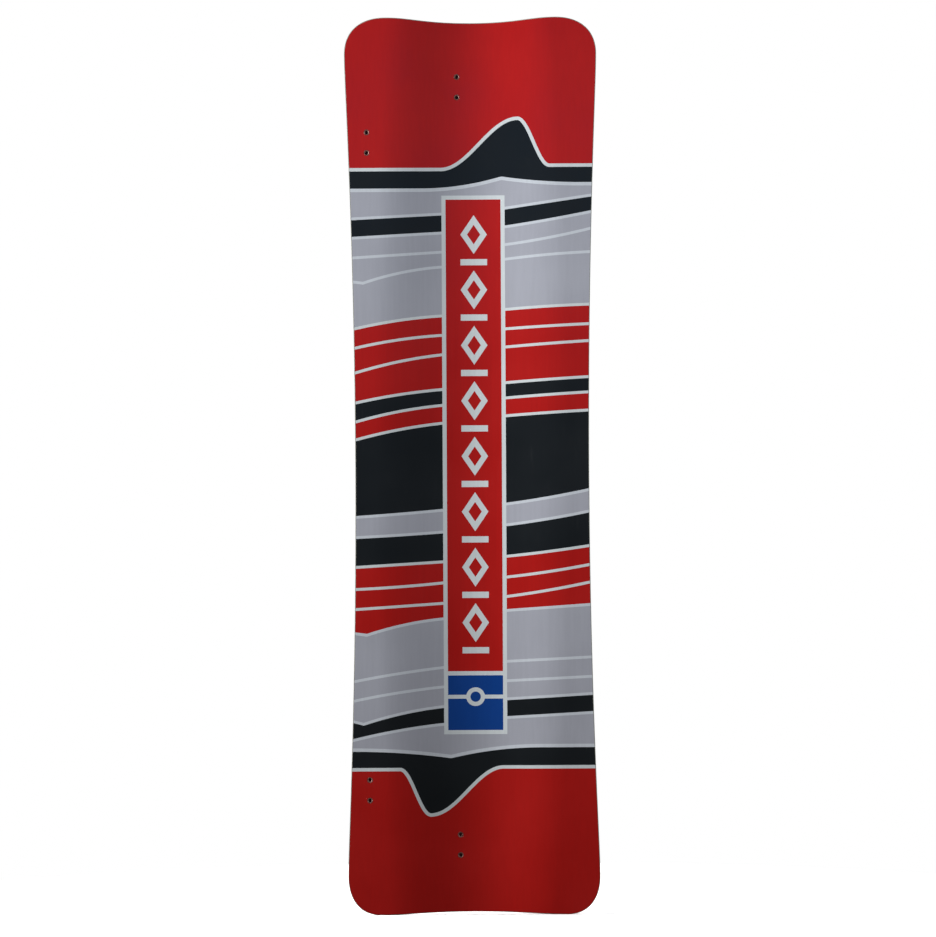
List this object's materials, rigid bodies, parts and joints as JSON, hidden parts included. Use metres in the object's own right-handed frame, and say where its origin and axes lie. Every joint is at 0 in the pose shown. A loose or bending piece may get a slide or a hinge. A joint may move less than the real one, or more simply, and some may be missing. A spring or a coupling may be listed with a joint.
{
  "type": "wakeboard",
  "caption": "Bare twin-tip wakeboard: printed base and deck sheets, glass laminates, strip-wood core, plastic rails, and blind threaded bushes for fins and inserts for bindings.",
  "frame": {"origin": "middle of the board's length and width, on the base surface, where that surface is flat", "axes": "+Z along the board from tail to nose, -Y out of the printed base, +Y out of the deck, +X across the board, away from the edge that the outer fins stand on"},
  "size_m": [0.39, 0.0591, 1.39],
  "materials": {
    "printed_base_film": "printed, semi-gloss",
    "deck_film": "satin",
    "glass_laminate": "woven glass in resin",
    "rail_plastic": "satin",
    "core_wood_pale": "sanded",
    "core_wood_dark": "sanded",
    "bush_metal": "turned",
    "insert_steel": "turned"
  },
  "bodies": {
    "root": {"base_sheet": "printed_base_film", "base_laminate": "glass_laminate", "core_strip_1": "core_wood_pale", "core_strip_2": "core_wood_dark", "core_strip_3": "core_wood_pale", "core_strip_4": "core_wood_dark", "core_strip_5": "core_wood_pale", "core_strip_6": "core_wood_dark", "core_strip_7": "core_wood_pale", "core_strip_8": "core_wood_dark", "core_strip_9": "core_wood_pale", "deck_laminate": "glass_laminate", "deck_sheet": "deck_film", "rail_left": "rail_plastic", "rail_right": "rail_plastic", "fin_bush_nose_edge_1": "bush_metal", "fin_bush_nose_edge_2": "bush_metal", "fin_bush_nose_centre_1": "bush_metal", "fin_bush_nose_centre_2": "bush_metal", "fin_bush_tail_edge_1": "bush_metal", "fin_bush_tail_edge_2": "bush_metal", "fin_bush_tail_centre_1": "bush_metal", "fin_bush_tail_centre_2": "bush_metal", "insert_nose_left_1": "insert_steel", "insert_nose_left_2": "insert_steel", "insert_nose_left_3": "insert_steel", "insert_nose_left_4": "insert_steel", "insert_nose_right_1": "insert_steel", "insert_nose_right_2": "insert_steel", "insert_nose_right_3": "insert_steel", "insert_nose_right_4": "insert_steel", "insert_tail_left_1": "insert_steel", "insert_tail_left_2": "insert_steel", "insert_tail_left_3": "insert_steel", "insert_tail_left_4": "insert_steel", "insert_tail_right_1": "insert_steel", "insert_tail_right_2": "insert_steel", "insert_tail_right_3": "insert_steel", "insert_tail_right_4": "insert_steel"}
  },
  "joints": []
}
